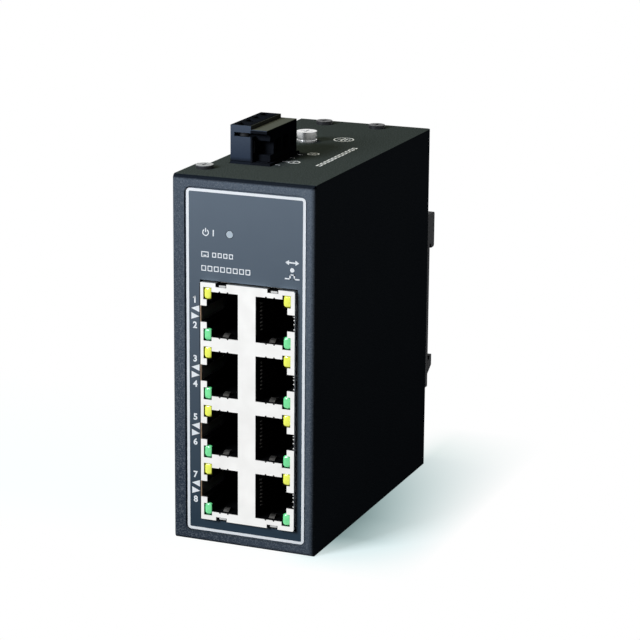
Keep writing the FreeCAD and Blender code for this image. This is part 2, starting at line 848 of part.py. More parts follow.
HEADER_RIGHT = f"({PLUG_RIGHT} + header_wall - plug_fit)"
header_solid = block(
    "header_solid", (BOARD_FACE, HEADER_RIGHT), (PLUG_FRONT, PLUG_END),
    ("header_bottom", f"{TOP} + header_rim"),
)
header_room = block(
    "header_room", (f"{BOARD_FACE} + header_wall", f"{HEADER_RIGHT} - header_wall"),
    (f"{PLUG_FRONT} + header_wall", f"{PLUG_END} - header_wall"),
    ("header_bottom + header_floor", f"{TOP} + header_rim"),
)
PIN_X = f"(({BOARD_FACE} + {HEADER_RIGHT}) / 2)"
PLUG_MIDDLE = f"({PLUG_FRONT} + {PLUG_END}) / 2"
pole_places = [f"({PLUG_MIDDLE} + {i - (POLES - 1) / 2} * pole_pitch)" for i in range(POLES)]
pin_slots = []
pins = []
for i, y in enumerate(pole_places):
    across = about(PIN_X, "pin_side")
    along = about(y, "pin_side")
    pin_slots.append(block(f"pin_slot_{i}", across, along, ("header_bottom", "header_bottom + header_floor")))
    upright = block(
        f"pin_upright_{i}", across, along,
        ("header_bottom - pin_drop - pin_side", "header_bottom + header_floor + pin_rise"),
    )
    tail = block(
        f"pin_tail_{i}", (BOARD_FACE, across[1]), along,
        ("header_bottom - pin_drop - pin_side", "header_bottom - pin_drop"),
    )
    pins.append(fuse(f"pin_{i}", upright, tail))
node(cut("header", header_solid, header_room, *pin_slots), "terminal_header")
node(group("pin_set", pins), "header_pins")


# The plug: a stepped moulding with wire funnels on the right, screw wells on the top and a
# tongue that enters the header

plug = new_body("Plug")
section = [
    ("plug_left", PLUG_SEAT), (PLUG_RIGHT, PLUG_SEAT), (PLUG_RIGHT, f"{PLUG_TOP} - plug_step"),
    ("plug_left + plug_step_x", f"{PLUG_TOP} - plug_step"), ("plug_left + plug_step_x", PLUG_TOP),
    ("plug_left", PLUG_TOP),
]
pad(plug, draw(plug, "plug_section", "XZ_Plane", f"-{PLUG_FRONT}", [section]), "plug_length", reverse=True)
tongue = rectangle(
    f"{BOARD_FACE} + header_wall + plug_fit", f"{HEADER_RIGHT} - header_wall - plug_fit",
    f"{PLUG_FRONT} + header_wall + plug_fit", f"{PLUG_END} - header_wall - plug_fit",
)
pad(plug, draw(plug, "tongue", "XY_Plane", PLUG_SEAT, [tongue]), "plug_tongue_depth", reverse=True)
UNDER_CAP = f"({PLUG_TOP} - plug_cap)"
end_recess = [
    (f"plug_left + end_block_right", PLUG_SEAT), (f"{PLUG_RIGHT} + sheet_gauge", PLUG_SEAT),
    (f"{PLUG_RIGHT} + sheet_gauge", UNDER_CAP), ("plug_left + end_block_left", UNDER_CAP),
    ("plug_left + end_block_left", f"{UNDER_CAP} - plug_gap"),
    ("plug_left + end_block_right", f"{UNDER_CAP} - plug_gap"),
]
pocket(plug, draw(plug, "end_recess", "XZ_Plane", f"-{PLUG_FRONT}", [end_recess]), "end_inset")
FUNNEL_Z = f"({PLUG_SEAT} + funnel_height)"
funnel_outlines = [
    rectangle(*about(y, "funnel_side"), *about(FUNNEL_Z, "funnel_side")) for y in pole_places
]
WELL_X = "(plug_left + well_x)"
CHAMBER = f"({PLUG_RIGHT} - plug_left - well_x + clamp_width / 2 + plug_fit)"
funnels = draw(plug, "wire_funnels", "YZ_Plane", PLUG_RIGHT, funnel_outlines)
pocket(plug, funnels, f"{PLUG_RIGHT} - {WELL_X}")
CLAMP_LOW = f"({FUNNEL_Z} - clamp_height / 2)"
CLAMP_HIGH = f"({FUNNEL_Z} + clamp_height / 2)"
chambers = [
    rectangle(*about(WELL_X, "(clamp_width + 2 * plug_fit)"), *about(y, "(funnel_side + 2 * plug_fit)"))
    for y in pole_places
]
chamber_drawing = draw(plug, "clamp_chambers", "XY_Plane", f"{CLAMP_HIGH} + plug_fit", chambers)
pocket(plug, chamber_drawing, "clamp_height + plug_fit")
well_outlines = [rectangle(*about(WELL_X, "well_side"), *about(y, "well_side")) for y in pole_places]
pocket(plug, draw(plug, "screw_wells", "XY_Plane", PLUG_TOP, well_outlines), f"{PLUG_TOP} - {CLAMP_HIGH}")
socket_outlines = [
    rectangle(*about(PIN_X, "(pin_side + 2 * plug_fit)"), *about(y, "(pin_side + 2 * plug_fit)"))
    for y in pole_places
]
pocket(
    plug, draw(plug, "pin_sockets", "XY_Plane", f"{PLUG_SEAT} - plug_tongue_depth", socket_outlines),
    "pin_rise + plug_fit", reverse=True,
)
node(plug, "terminal_plug")

clamps = []
clamp_screws = []
for i, y in enumerate(pole_places):
    across = about(WELL_X, "clamp_width")
    cage = block(f"cage_{i}", across, about(y, "funnel_side"), (CLAMP_LOW, CLAMP_HIGH))
    wire_way = block(
        f"wire_way_{i}", across, about(y, "(funnel_side - 2 * clamp_wall)"),
        (f"{CLAMP_LOW} + clamp_wall", f"{CLAMP_HIGH} - clamp_wall"),
    )
    entry = block(
        f"cage_entry_{i}", about(WELL_X, "(2 * clamp_screw_radius)"), about(y, "(2 * clamp_screw_radius)"),
        (f"{CLAMP_HIGH} - clamp_wall", CLAMP_HIGH),
    )
    clamps.append(cut(f"clamp_{i}", cage, wire_way, entry))
    clamp_screws.append(rod(
        f"clamp_screw_{i}", "z", (WELL_X, y), "clamp_screw_radius - thread_gap", f"{CLAMP_HIGH} - clamp_wall",
        f"{CLAMP_HIGH} + clamp_screw_rise",
    ))
node(group("clamp_set", clamps), "plug_clamps")
node(group("clamp_screw_set", clamp_screws), "plug_screws")


# Screws through the top and the underside, and the earth screw with its washers and nut

case_screws = []
for i, place in enumerate(SCREW_PLACES):
    whole = screw(f"case_screw_whole_{i}", "z", place, TOP, "pan_radius", "pan_height", "screw_length")
    case_screws.append(crossed(f"case_screw_{i}", whole, "z", place, f"({TOP} + pan_height)"))
node(group("case_screw_set", case_screws), "case_screws")
floor_screws = [
    rod(f"floor_screw_{i}", "z", place, "m_three_radius", "0", "screw_length")
    for i, place in enumerate(FLOOR_PLACES)
]
node(group("floor_screw_set", floor_screws), "floor_screws")


def washer(name, radius, low, high):
    """A flat ring about the earth screw."""
    ring = rod(f"{name}_ring", "z", GROUND_PLACE, radius, low, high)
    return cut(name, ring, rod(f"{name}_bore", "z", GROUND_PLACE, "m_three_radius + thread_gap", low, high))


WASHER_TOP = f"({TOP} + ground_washer_gauge)"
LOCK_TOP = f"({WASHER_TOP} + lock_washer_gauge)"
node(washer("flat_washer", "ground_head", TOP, WASHER_TOP), "ground_washer")
split_ring = washer("spring_ring", "lock_washer_radius", WASHER_TOP, LOCK_TOP)
split = block(
    "washer_split", ("ground_x", "ground_x + ground_head"), about(GROUND_PLACE[1], "recess_width"),
    (WASHER_TOP, LOCK_TOP),
)
node(cut("split_washer", split_ring, split), "lock_washer")
ground_whole = screw(
    "ground_whole", "z", GROUND_PLACE, LOCK_TOP, "ground_head", "ground_head_height",
    "(ground_washer_gauge + lock_washer_gauge + sheet_gauge + ground_nut_height)",
)
GROUND_TOP = f"({LOCK_TOP} + ground_head_height)"
ground_screw = crossed("ground_cross", ground_whole, "z", GROUND_PLACE, GROUND_TOP, "(recess_length * 1.3)")
node(ground_screw, "ground_screw")
nut_span = (f"{TOP} - sheet_gauge - ground_nut_height", f"{TOP} - sheet_gauge")
nut_blank = hexagon("nut_blank", "z", GROUND_PLACE, "ground_nut_radius", *nut_span)
nut_bore = rod("nut_bore", "z", GROUND_PLACE, "m_three_radius + thread_gap", *nut_span)
node(cut("clinch_nut", nut_blank, nut_bore), "ground_nut")


# The rail clip: a moulded body with a fixed hook above, and a sprung foot that slides in it

HOOK_INNER = f"({CLIP_FACE} + rail_gauge + rail_gap)"
HOOK_OUTER = f"({HOOK_INNER} + hook_gauge)"
bracket = new_body("Bracket")
side_view = [
    (BACK, "clip_bottom"), (CLIP_FACE, "clip_bottom"), (CLIP_FACE, RAIL_TOP), (HOOK_INNER, RAIL_TOP),
    (HOOK_INNER, f"{RAIL_TOP} - hook_lip"), (HOOK_OUTER, f"{RAIL_TOP} - hook_lip"),
    (HOOK_OUTER, "clip_top"), (BACK, "clip_top"),
]
pad(bracket, draw(bracket, "side_view", "YZ_Plane", "-clip_width / 2", [side_view]), "clip_width")
hook_line = back + clip_body + rail_gauge + rail_gap + hook_gauge
soften(
    bracket, "hook_rounding", "clip_rounding",
    lambda edge: runs_along(edge, "x") and close(edge.CenterOfMass.y, hook_line),
)
SLIDE_FLOOR = f"({BACK} + slide_floor)"
WING_TOP = f"({SLIDE_FLOOR} + slide_wing_gauge)"
slide = draw(
    bracket, "slide", "XY_Plane", "clip_bottom",
    [[
        ("-slide_half", CLIP_FACE), ("-slide_half", WING_TOP), ("-slide_half - slide_wing", WING_TOP),
        ("-slide_half - slide_wing", SLIDE_FLOOR), ("slide_half + slide_wing", SLIDE_FLOOR),
        ("slide_half + slide_wing", WING_TOP), ("slide_half", WING_TOP), ("slide_half", CLIP_FACE),
    ]],
)
pocket(bracket, slide, "slide_top - clip_bottom", reverse=True)
POST_LOW = "(window_low + slide_fit)"
post = draw(
    bracket, "post", "XZ_Plane", f"-{SLIDE_FLOOR}",
    [rectangle("-window_half + slide_fit", "window_half - slide_fit", POST_LOW, f"{POST_LOW} + post_height")],
)
pad(bracket, post, "clip_body - slide_floor", reverse=True)
clip_bores = draw(
    bracket, "clip_bores", "XZ_Plane", f"-{CLIP_FACE}", (),
    [(place, "m_three_radius + hole_gap") for place in CLIP_SCREWS],
)
pocket(bracket, clip_bores, "clip_body", reverse=True)
heads = draw(
    bracket, "clip_heads", "XZ_Plane", f"-{CLIP_FACE}", (),
    [(place, "clip_screw_head + hole_gap") for place in CLIP_SCREWS],
)
pocket(bracket, heads, "clip_body / 2", reverse=True)
node(bracket, "din_bracket")

latch = new_body("Latch")
tongue_section = [
    ("-slide_half + slide_fit", CLIP_FACE),
    ("-slide_half + slide_fit", f"{WING_TOP} - slide_fit"),
    ("-slide_half - slide_wing + slide_fit", f"{WING_TOP} - slide_fit"),
    ("-slide_half - slide_wing + slide_fit", f"{SLIDE_FLOOR} + slide_fit"),
    ("slide_half + slide_wing - slide_fit", f"{SLIDE_FLOOR} + slide_fit"),
    ("slide_half + slide_wing - slide_fit", f"{WING_TOP} - slide_fit"),
    ("slide_half - slide_fit", f"{WING_TOP} - slide_fit"),
    ("slide_half - slide_fit", CLIP_FACE),
]
tongue_drawing = draw(latch, "tongue_section", "XY_Plane", "clip_bottom", [tongue_section])
pad(latch, tongue_drawing, "latch_reach - clip_bottom")
tail = draw(
    latch, "tail", "XZ_Plane", f"-({SLIDE_FLOOR} + slide_fit)",
    [rectangle("-latch_tail_half", "latch_tail_half", "clip_bottom - latch_tail", "clip_bottom")],
)
pad(latch, tail, "clip_body - slide_floor - slide_fit", reverse=True)
BAR_BACK = f"({CLIP_FACE} + slide_fit)"
BAR_TOP = f"({RAIL_BOTTOM} - slide_fit)"
LIP_BACK = f"({HOOK_INNER} + latch_gauge)"
bar_view = [
    (CLIP_FACE, f"{BAR_TOP} - latch_bar"), (LIP_BACK, f"{BAR_TOP} - latch_bar / 2"),
    (LIP_BACK, f"{BAR_TOP} + latch_lip"), (HOOK_INNER, f"{BAR_TOP} + latch_lip"), (HOOK_INNER, BAR_TOP),
    (CLIP_FACE, BAR_TOP),
]
bar_drawing = draw(latch, "bar_view", "YZ_Plane", "-slide_half + slide_fit", [bar_view])
pad(latch, bar_drawing, "2 * (slide_half - slide_fit)")
wing_view = [(BAR_BACK if place == CLIP_FACE else place, height) for place, height in bar_view]
pad(latch, draw(latch, "wing_view", "YZ_Plane", "-clip_width / 2", [wing_view]), "clip_width")
window = draw(
    latch, "window", "XZ_Plane", f"-{CLIP_FACE}",
    [rectangle("-window_half", "window_half", "window_low", "window_high")],
)
pocket(latch, window, "clip_body", reverse=True)
eye = draw(
    latch, "eye", "XZ_Plane", f"-{CLIP_FACE}",
    [
        rectangle(
            "-eye_width / 2", "eye_width / 2", "clip_bottom - latch_tail + eye_height",
            "clip_bottom - latch_tail + 2 * eye_height",
        ),
    ],
)
pocket(latch, eye, "clip_body", reverse=True)
node(latch, "din_latch")


SPRING_BENDS = 12


def coil():
    """The compression spring between the bracket's post and the latch's window, from its middle."""
    low = window_low + slide_fit + post_height + spring_gap
    high = window_high - spring_gap
    wire = spring_wire / 2
    turns = (high - low - 2 * wire) / spring_pitch
    steps = round(turns * SPRING_BENDS)
    path = []
    for i in range(steps + 1):
        angle = 2 * math.pi * turns * i / steps
        level = (high - low - 2 * wire) * i / steps
        path.append(Vector(spring_radius * math.cos(angle), spring_radius * math.sin(angle), level))
    along = (path[1] - path[0]).normalize()
    out = path[0] - Vector(0, 0, path[0].z)
    out = (out - along * out.dot(along)).normalize() * wire
    rise = along.cross(out)
    corners = [path[0] + out + rise, path[0] - out + rise, path[0] - out - rise, path[0] + out - rise]
    pipe = Part.makePolygon(path).makePipeShell([Part.makePolygon(corners + corners[:1])], True, False, 1)
    return pipe, low + wire


spring = doc.addObject("Part::Feature", "Spring")
spring.Shape, spring_low = coil()
spring_y = back + (slide_floor + clip_body) / 2
spring.Placement = Placement(Vector(0, spring_y, spring_low), Rotation())
node(spring, "latch_spring")

clip_screws = []
for i, place in enumerate(CLIP_SCREWS):
    whole = screw(
        f"clip_screw_whole_{i}", "y", place, f"({CLIP_FACE} - clip_body / 2)", "clip_screw_head",
        "(clip_body - pan_height) / 2", "(clip_body / 2 + 2 * sheet_gauge)",
    )
    clip_screws.append(crossed(f"clip_screw_{i}", whole, "y", place, f"({CLIP_FACE} - pan_height / 2)"))
node(group("clip_screw_set", clip_screws), "bracket_screws")


# Check everything, then write each sub-part

doc.recompute()
for thing in doc.Objects:
    state = [word for word in thing.State if word in ("Invalid", "Error")]
    assert not state, f"{thing.Name} is {state}"
for part in nodes:
    assert not part.Shape.isNull(), f"{part.Label} has no shape"
    assert part.Shape.isValid(), f"{part.Label} is not valid"
    assert part.Shape.Solids, f"{part.Label} holds no solid"
    part.Shape.exportStep(f"parts/{part.Label}.step")
    print(f"{part.Label}: {len(part.Shape.Solids)} solid(s), {part.Shape.Volume:.1f} mm3")
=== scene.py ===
from math import cos, pi, radians, sin

import bmesh
import bpy
from mathutils import Euler, Matrix, Vector


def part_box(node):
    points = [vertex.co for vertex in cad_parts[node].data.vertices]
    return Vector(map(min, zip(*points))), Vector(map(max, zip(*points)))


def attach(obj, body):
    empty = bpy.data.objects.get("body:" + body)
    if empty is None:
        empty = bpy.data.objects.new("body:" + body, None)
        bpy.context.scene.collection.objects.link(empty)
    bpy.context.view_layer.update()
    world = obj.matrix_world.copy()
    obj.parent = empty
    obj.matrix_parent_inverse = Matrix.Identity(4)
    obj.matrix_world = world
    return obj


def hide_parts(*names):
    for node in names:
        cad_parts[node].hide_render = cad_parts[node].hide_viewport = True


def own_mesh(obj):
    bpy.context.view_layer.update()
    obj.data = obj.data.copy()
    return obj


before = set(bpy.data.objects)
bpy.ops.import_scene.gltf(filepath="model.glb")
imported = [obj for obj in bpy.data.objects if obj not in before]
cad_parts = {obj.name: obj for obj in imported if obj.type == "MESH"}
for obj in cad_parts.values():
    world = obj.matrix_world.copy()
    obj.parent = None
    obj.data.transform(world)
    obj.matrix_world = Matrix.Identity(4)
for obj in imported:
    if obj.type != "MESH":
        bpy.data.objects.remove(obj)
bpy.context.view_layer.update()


# The case is one steel sheet, folded into the front, the top, the underside, the right side and
# the back, and open on the left. A blue-black powder coat with a fine grain covers it. Painted
# light makes its walls paler upwards and to the right, painted shade gives its top a greener,
# more even black, and painted shade darkens it most along the tight bend between the front and
# the top.

MM = 0.001


def box_of(name):
    """The low and the high corner of a CAD node, in millimetres."""
    return [Vector(corner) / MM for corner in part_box(name)]


class Wire:
    """An output in a material's node tree. Sums and products of wires add their own nodes."""

    def __init__(self, tree, socket=None):
        self.tree = tree
        self.socket = socket

    def node(self, kind, inputs=None, out=0, **settings):
        """Add a node: its settings first, then the values or wires of its sockets."""
        made = self.tree.nodes.new(kind)
        for setting, value in settings.items():
            setattr(made, setting, value)
        for name, value in (inputs or {}).items():
            if isinstance(value, Wire):
                self.tree.links.new(value.socket, made.inputs[name])
            else:
                made.inputs[name].default_value = value
        return Wire(self.tree, made.outputs[out])

    def beside(self, output):
        """Another output of the node that this wire comes from."""
        return Wire(self.tree, self.socket.node.outputs[output])

    def maths(self, operation, first, second):
        return self.node("ShaderNodeMath", {0: first, 1: second}, operation=operation)

    def __add__(self, other):
        return self.maths("ADD", self, other)

    def __sub__(self, other):
        return self.maths("SUBTRACT", self, other)

    def __rsub__(self, other):
        return self.maths("SUBTRACT", other, self)

    def __mul__(self, other):
        return self.maths("MULTIPLY", self, other)

    __radd__ = __add__
    __rmul__ = __mul__

    def above(self, threshold, softness):
        """A mask that rises from 0 to 1 as the value passes a threshold."""
        ends = {"Value": self, "From Min": threshold - softness, "From Max": threshold + softness}
        return self.node("ShaderNodeMapRange", ends)

    def mixed(self, first, second):
        """A mix of two colours by this value; sockets 6 and 7 are the colour ones."""
        return self.node("ShaderNodeMix", {0: self, 6: first, 7: second}, out=2, data_type="RGBA")

    def tint(self, low, high):
        """A colour that goes from one to another as the value goes from 0 to 1."""
        return self.mixed((*low, 1), (*high, 1))

    def tint_over(self, base, colour):
        """A base colour with a plain one laid over it where the value is high."""
        return self.mixed(base, (*colour, 1))


def paint(name, draw, **fixed):
    """A material: draw returns what varies over the surface, and fixed holds plain values."""
    material = bpy.data.materials.new(name)
    material.use_nodes = True
    tree = material.node_tree
    shader = tree.nodes["Principled BSDF"]
    place = Wire(tree).node("ShaderNodeTexCoord", out="Object")
    for socket, value in fixed.items():
        shader.inputs[socket.replace("_", " ")].default_value = value
    for socket, wire in draw(place).items():
        tree.links.new(wire.socket, shader.inputs[socket])
    return material


def noise(place, scale, detail):
    """Cloudy variation; scale is in features to a metre."""
    return place.node("ShaderNodeTexNoise", {"Vector": place, "Scale": scale, "Detail": detail})


def bump(height, depth, strength):
    """Relief of a given depth in metres."""
    return height.node("ShaderNodeBump", {"Height": height, "Distance": depth, "Strength": strength})


def along(place, axis):
    """How far a place lies along X, Y or Z (0, 1 or 2), in metres."""
    return place.node("ShaderNodeSeparateXYZ", {"Vector": place}, out=axis)


def dress(material, *names):
    """Put a material on CAD nodes."""
    for name in names:
        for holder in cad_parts[name].material_slots:
            holder.material = material


case_low, case_high = box_of("chassis")
# How far the bend's painted shade reaches down from the top and back from the front.
BEND_SHADE_DROP = 1.0
BEND_SHADE_DEEP = 0.85


def powder(place):
    """Walls with painted light, paler upwards and to the right, a top of a greener, more even black in
    painted shade, and painted shade along the bend.
    """
    grain = noise(place, 2300, 2.0)
    specks = noise(place, 3300, 1.0).above(0.58, 0.08)
    pits = noise(place, 2900, 1.0).above(0.60, 0.08)
    patches = noise(place, 45, 4.0)
    height = along(place, 2)
    # Painted light: the walls' colour grows paler with height and to the right, over the grain and patches.
    paler = 0.34 * grain + 0.16 * patches + 5.2 * height + 9.0 * along(place, 0) + 0.108
    wall = paler.tint((0.010, 0.018, 0.032), (0.120, 0.146, 0.180))
    # Painted shade: faces that look up take this greener, more even black instead of the walls' colour.
    painted_shade_top = grain.tint((0.034, 0.043, 0.040), (0.060, 0.072, 0.068))
    upward = along(place.beside("Normal"), 2).above(0.8, 0.2)
    specked = (0.45 * specks * (1 - 0.45 * upward)).tint_over(upward.mixed(wall, painted_shade_top), (0.21, 0.235, 0.26))
    pitted = (0.35 * pits).tint_over(specked, (0.018, 0.024, 0.036))
    # Painted shade: a near-black band along the bend between the front and the top.
    high = height.above((case_high.z - BEND_SHADE_DROP) * MM, 0.25 * MM)
    behind = along(place, 1).above((case_low.y + BEND_SHADE_DEEP) * MM, 0.2 * MM)
    return {
        "Base Color": (0.92 * (high * (1 - behind))).tint_over(pitted, (0.003, 0.005, 0.010)),
        "Roughness": 0.52 + 0.16 * grain,
        "Normal": bump(grain, 0.06 * MM, 0.6),
    }


coat = paint("powder_coat", powder, Specular_IOR_Level=0.0)
dress(coat, "chassis")


# The left side is a second steel plate in the same coat. Its flanges tuck in under the top and
# over the case's floor, where small screws hold them.

dress(coat, "side_plate")


# The front carries a printed film of polyester, deep slate blue, stuck down in a shallow recess.
# Painted light fades it from a paler top to a darker foot.

def film_slate(place):
    mottle = noise(place, 160, 3.0)
    grain = noise(place, 5200, 2.0)
    # Painted light: the film's colour grows paler with height, with a little mottle.
    painted_light_and_mottle = 10 * along(place, 2) + 0.06 * mottle
    return {
        "Base Color": painted_light_and_mottle.tint((0.009, 0.026, 0.044), (0.126, 0.157, 0.193)),
        "Roughness": 0.42 + 0.12 * grain,
        "Normal": bump(grain, 0.01 * MM, 0.4),
    }


dress(paint("label_film", film_slate, Specular_IOR_Level=0.15), "front_label")


# The film's ink is white and screen printed. A border with round corners runs round its edge,
# and each pair of sockets has two numbers, with pointers that say which socket is which.

def white_ink(place):
    wear = noise(place, 900, 4.0)
    return {
        "Base Color": wear.tint((0.87, 0.89, 0.90), (0.96, 0.965, 0.965)),
        "Roughness": 0.42 + 0.2 * wear,
    }


ink = paint("white_ink", white_ink)
INK_RISE = 0.02


def piece(name, mesh, material):
    """Finish a new piece of the case: its material and its body."""
    thing = bpy.data.objects.new(name, mesh)
    bpy.context.scene.collection.objects.link(thing)
    thing.data.materials.append(material)
    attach(thing, "case")
    return thing


def skin(loops, made):
    """Close a form over a row of loops of as many points each, given in millimetres."""
    rings = [[made.verts.new([value * MM for value in point]) for point in loop] for loop in loops]
    made.faces.new(rings[0])
    made.faces.new(rings[-1])
    for near, far in zip(rings, rings[1:]):
        for i in range(len(near)):
            j = (i + 1) % len(near)
            made.faces.new((near[i], near[j], far[j], far[i]))


def extrude(outline, lay, low, high, made):
    """Add a bar of even section between two levels; lay(u, v, level) says where its points go."""
    skin([[lay(u, v, level) for u, v in outline] for level in (low, high)], made)


def finished(made, smooth=False):
    """The mesh of what was built, with its faces turned outwards."""
    bmesh.ops.recalc_face_normals(made, faces=made.faces)
    mesh = bpy.data.meshes.new("made")
    made.to_mesh(mesh)
    made.free()
    for polygon in mesh.polygons:
        polygon.use_smooth = smooth
    return mesh


def stamp(shapes, lay, low, high):
    """A thin mesh of flat outlines, laid on a surface between two levels."""
    made = bmesh.new()
    for outline in shapes:
        extrude(outline, lay, low, high, made)
    return finished(made)


def on_front(x, z, y):
    """Outlines on the front stand upright, x to the right and z up."""
    return x, y, z


def bar(left, right, low, high):
    """A rectangle, anticlockwise from the lower left."""
    return [(left, low), (right, low), (right, high), (left, high)]


def arc(centre, radius, start, end, steps=6):
    """Points along an arc, with its angles in degrees."""
    angles = [radians(start + (end - start) * i / steps) for i in range(steps + 1)]
    return [(centre[0] + radius * cos(a), centre[1] + radius * sin(a)) for a in angles]


def ring(outer, inner):
    """Quadrilaterals between two loops of as many points."""
    count = len(outer)
    return [(outer[i], outer[(i + 1) % count], inner[(i + 1) % count], inner[i]) for i in range(count)]


def inset(span, by):
    """A span drawn in at both of its ends."""
    return span[0] + by, span[1] - by


def rounded(x, z, corner):
    """A rectangle with round corners, anticlockwise from the lower right."""
    points = []
    for cx, cz, start in ((x[1], z[0], 270), (x[1], z[1], 0), (x[0], z[1], 90), (x[0], z[0], 180)):
        side = -1 if cx == x[1] else 1
        rise = 1 if cz == z[0] else -1
        points += arc((cx + side * corner, cz + rise * corner), corner, start, start + 90)
    return points


film_low, film_high = box_of("front_label")
BORDER_MARGIN = 0.05
BORDER_LINE = 0.76
BORDER_CORNER = 1.1
BORDER_INNER_CORNER = 0.35
border_x = inset((film_low.x, film_high.x), BORDER_MARGIN)
border_z = inset((film_low.z, film_high.z), BORDER_MARGIN)
border = ring(
    rounded(border_x, border_z, BORDER_CORNER),
    rounded(inset(border_x, BORDER_LINE), inset(border_z, BORDER_LINE), BORDER_INNER_CORNER),
)

sockets_low, sockets_high = box_of("jack_shield")
ROWS = 4
ROW_PITCH = 16.07
block_z = (sockets_low.z + sockets_high.z) / 2
rows = [block_z + ((ROWS - 1) / 2 - i) * ROW_PITCH for i in range(ROWS)]

POINTER_TALL = 1.85
POINTER_TIP = 0.95
POINTER_BASE_OUT = 1.15
POINTER_TIP_OUT = 1.2
pointers_x = film_low.x + 2.55
pointers = []
for row in rows:
    for side, level in ((1, row - 0.05), (-1, row - 0.25)):
        base = pointers_x + side * POINTER_BASE_OUT
        tip = (pointers_x - side * POINTER_TIP_OUT, level + side * POINTER_TIP)
        pointers.append([(base, level), (base, level + side * POINTER_TALL), tip])


def figures(text, x, z, tall, bold):
    """Plain figures as flat outlines, with their middle at (x, z) and a given height."""
    curve = bpy.data.curves.new("figures", "FONT")
    curve.body = text
    curve.offset = bold
    curve.resolution_u = 4
    writing = bpy.data.objects.new("figures", curve)
    bpy.context.scene.collection.objects.link(writing)
    bpy.context.view_layer.update()
    mesh = bpy.data.meshes.new_from_object(writing.evaluated_get(bpy.context.evaluated_depsgraph_get()))
    bpy.data.objects.remove(writing)
    across = [vertex.co.x for vertex in mesh.vertices]
    upward = [vertex.co.y for vertex in mesh.vertices]
    scale = tall / (max(upward) - min(upward))
    middle = ((min(across) + max(across)) / 2, (min(upward) + max(upward)) / 2)
    shapes = []
    for polygon in mesh.polygons:
        corners = [(across[i] - middle[0], upward[i] - middle[1]) for i in polygon.vertices]
        shapes.append([(x + u * scale, z + v * scale) for u, v in corners])
    bpy.data.meshes.remove(mesh)
    return shapes


DIGIT_TALL = 1.85
DIGIT_BOLD = 0.035
DIGIT_ABOVE = 3.3
DIGIT_BELOW = 3.6
FLAG_OF_ONE = ((-0.55, 0.35), (0.1, 0.6), (0.1, 0.92), (-0.05, 0.92), (-0.55, 0.62))
digits_x = pointers_x - 0.1
numbers = []
for index, row in enumerate(rows):
    numbers += figures(str(2 * index + 1), digits_x, row + DIGIT_ABOVE, DIGIT_TALL, DIGIT_BOLD)
    numbers += figures(str(2 * index + 2), digits_x, row - DIGIT_BELOW, DIGIT_TALL, DIGIT_BOLD)
numbers.append([(digits_x + u, rows[0] + DIGIT_ABOVE + v) for u, v in FLAG_OF_ONE])


# Plain signs are printed in the same ink: a power sign by the power lamp, a socket sign and rows
# of little boxes over the sockets, and a double arrow over a pulse for the link lamps.

def band(centre, outer, inner, start, end, steps):
    """A round line between two radii, from one angle to another."""
    return ring(arc(centre, outer, start, end, steps), arc(centre, inner, start, end, steps))[:-1]


def small_box(left, low, width, height, line=0.24):
    """The outline of a little rectangle."""
    right, high = left + width, low + height
    return ring(bar(left, right, low, high), bar(left + line, right - line, low + line, high - line))


lamp_low, lamp_high = box_of("power_led")
lamp_z = (lamp_low.z + lamp_high.z) / 2
power_x = film_low.x + 5.6
BOW_OUTER = 0.95
BOW_INNER = 0.66
STEM_HALF_LINE = 0.15
power_sign = band((power_x, lamp_z), BOW_OUTER, BOW_INNER, 120, 420, 20)
power_sign.append(bar(power_x - STEM_HALF_LINE, power_x + STEM_HALF_LINE, lamp_z + 0.1, lamp_z + 1.2))
power_sign += figures("1", power_x + 2.2, lamp_z, 1.7, 0.02)

signs_x = film_low.x + 4.35
UPPER_ROW = 78.5
LOWER_ROW = 74.8
UPPER_STEP = 1.6
LOWER_STEP = 1.8
socket_sign = small_box(signs_x, UPPER_ROW, 2.1, 1.5)
socket_sign.append(bar(signs_x + 0.65, signs_x + 1.45, UPPER_ROW + 0.12, UPPER_ROW + 0.6))
for i in range(4):
    socket_sign += small_box(signs_x + 3.1 + UPPER_STEP * i, UPPER_ROW + 0.1, 1.15, 1.3)
row_sign = []
for i in range(8):
    row_sign += small_box(signs_x + LOWER_STEP * i, LOWER_ROW, 1.35, 1.45)

link_x = film_high.x - 3.75
ARROW_Z = 79.3
ARROW_OUT = 1.9
ARROW_NECK = 0.9
ARROW_BARB = 0.7
ARROW_HALF_LINE = 0.2
DOT_Z = 77.35
DOT_RADIUS = 0.6
PULSE_Z = 75.0
PULSE = ((-1.9, 0), (-0.6, 0), (-0.6, 1.1), (0.6, 1.1), (0.6, 0), (1.9, 0))
PULSE_HALF_LINE = 0.17
link_sign = []
for side in (-1, 1):
    neck = link_x + side * ARROW_NECK
    barb = side * ARROW_BARB
    link_sign.append([(link_x + side * ARROW_OUT, ARROW_Z), (neck, ARROW_Z - barb), (neck, ARROW_Z + barb)])
link_sign.append(bar(
    link_x - ARROW_NECK, link_x + ARROW_NECK, ARROW_Z - ARROW_HALF_LINE, ARROW_Z + ARROW_HALF_LINE,
))
link_sign.append(arc((link_x, DOT_Z), DOT_RADIUS, 0, 337.5, 15))
for start, end in zip(PULSE, PULSE[1:]):
    left, right = inset(sorted((start[0], end[0])), -PULSE_HALF_LINE)
    low, high = inset(sorted((start[1], end[1])), -PULSE_HALF_LINE)
    link_sign.append(bar(link_x + left, link_x + right, PULSE_Z + low, PULSE_Z + high))

for name, shapes in (
    ("label_border", border), ("socket_pointers", pointers), ("socket_numbers", numbers),
    ("power_sign", power_sign), ("socket_sign", socket_sign), ("row_sign", row_sign),
    ("link_sign", link_sign),
):
    piece(name, stamp(shapes, on_front, film_low.y, film_low.y - INK_RISE), ink)


# The sockets share one block. Its shield is nickel-plated sheet, folded round the moulding, and
# stands through a window in the front. Its left wall and rim, turned from the light, are painted near black
# as painted shade.

SHIELD_SHADE_RIM = 0.26


